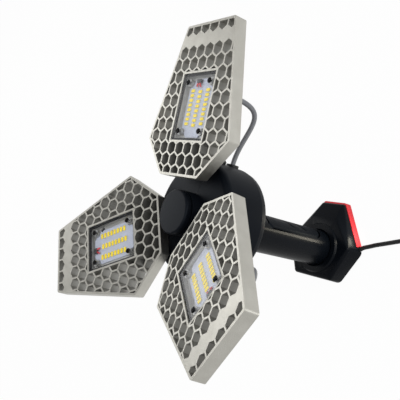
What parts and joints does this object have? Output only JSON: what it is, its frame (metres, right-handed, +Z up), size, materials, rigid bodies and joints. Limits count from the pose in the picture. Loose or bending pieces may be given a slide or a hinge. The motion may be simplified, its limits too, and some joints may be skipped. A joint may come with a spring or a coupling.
{
  "type": "deformable garage light",
  "caption": "Work light with folding honeycomb LED panels on a swivelling round hub, a push button nose, a gripped handle, a magnetic six-sided base and a coiled lead.",
  "frame": {"origin": "on the axis of the handle, at the underside of the foot pad", "axes": "+Z up the handle to the hub's nose, +X towards the pointed end of the base; the base is symmetric about the XZ plane"},
  "size_m": [0.3082, 0.3554, 0.272],
  "materials": {
    "cast_aluminium": "die-cast aluminium, bead-blasted, pale warm grey",
    "matt_black_abs": "moulded ABS with a fine spark-eroded grain",
    "satin_black_abs": "moulded ABS, satin, slightly blue black",
    "black_nylon": "moulded glass-filled nylon",
    "black_rubber": "moulded black rubber",
    "red_rubber": "moulded bright red rubber",
    "black_pvc": "extruded black PVC",
    "grey_pvc": "extruded grey PVC",
    "clear_lens": "clear moulded polycarbonate",
    "white_board": "white solder mask",
    "green_board": "green circuit board",
    "led_phosphor": "yellow phosphor under clear resin",
    "black_screws": "black oxide steel",
    "plated_steel": "zinc-plated steel"
  },
  "bodies": {
    "base": {"base_casing": "satin_black_abs", "foot_pad": "red_rubber", "base_plate": "plated_steel", "magnets": "plated_steel", "base_screws": "plated_steel", "handle_shell": "satin_black_abs", "grip_pad": "black_rubber", "swivel_nut": "black_nylon", "supply_lead": "black_pvc", "cord_relief": "black_pvc", "cord_lead": "black_pvc", "cord_coil": "black_pvc", "cord_tail": "black_pvc", "plug": "black_pvc"},
    "head": {"drum_shell": "matt_black_abs", "rear_cover": "satin_black_abs", "cover_screws": "plated_steel", "swivel_washer": "plated_steel", "driver_board": "green_board", "driver_parts": "black_nylon", "push_switch": "black_nylon", "button_spring": "plated_steel", "grommets": "black_rubber", "bracket_a": "black_nylon", "bracket_b": "black_nylon", "bracket_c": "black_nylon", "cable_a": "grey_pvc", "cable_b": "grey_pvc", "cable_c": "grey_pvc"},
    "front_button": {"front_button": "matt_black_abs", "button_clip": "plated_steel", "switch_plunger": "white_board"},
    "panel_a": {"frame_a": "cast_aluminium", "led_board_a": "white_board", "leds_a": "led_phosphor", "lens_a": "clear_lens", "gasket_a": "black_rubber", "screws_a": "black_screws", "gland_a": "black_nylon", "yoke_a": "black_nylon", "hinge_pin_a": "plated_steel"},
    "panel_b": {"frame_b": "cast_aluminium", "led_board_b": "white_board", "leds_b": "led_phosphor", "lens_b": "clear_lens", "gasket_b": "black_rubber", "screws_b": "black_screws", "gland_b": "black_nylon", "yoke_b": "black_nylon", "hinge_pin_b": "plated_steel"},
    "panel_c": {"frame_c": "cast_aluminium", "led_board_c": "white_board", "leds_c": "led_phosphor", "lens_c": "clear_lens", "gasket_c": "black_rubber", "screws_c": "black_screws", "gland_c": "black_nylon", "yoke_c": "black_nylon", "hinge_pin_c": "plated_steel"}
  },
  "joints": [
    {"name": "head_swivel", "type": "hinge", "parent": "base", "child": "head", "pos_m": [0, 0, 0.19], "axis": [0, 0, 1], "range_deg": [-150, 150]},
    {"name": "panel_a_fold", "type": "hinge", "parent": "head", "child": "panel_a", "pos_m": [0.06758, -0.00165, 0.213], "axis": [-0.0244, -0.9997, 0], "range_deg": [-91.6, 14.9], "deforming": ["cable_a"]},
    {"name": "panel_b_fold", "type": "hinge", "parent": "head", "child": "panel_b", "pos_m": [-0.03236, 0.05935, 0.213], "axis": [0.878, 0.4787, 0], "range_deg": [-106, 0.5], "deforming": ["cable_b"]},
    {"name": "panel_c_fold", "type": "hinge", "parent": "head", "child": "panel_c", "pos_m": [-0.03522, -0.0577, 0.213], "axis": [-0.8536, 0.521, 0], "range_deg": [-105.6, 0.9], "deforming": ["cable_c"]},
    {"name": "button_press", "type": "slide", "parent": "head", "child": "front_button", "axis": [0, 0, -1], "range_m": [0, 0.001], "stiffness_N_per_m": 1500, "springref_m": -0.001, "deforming": ["button_spring"]}
  ]
}
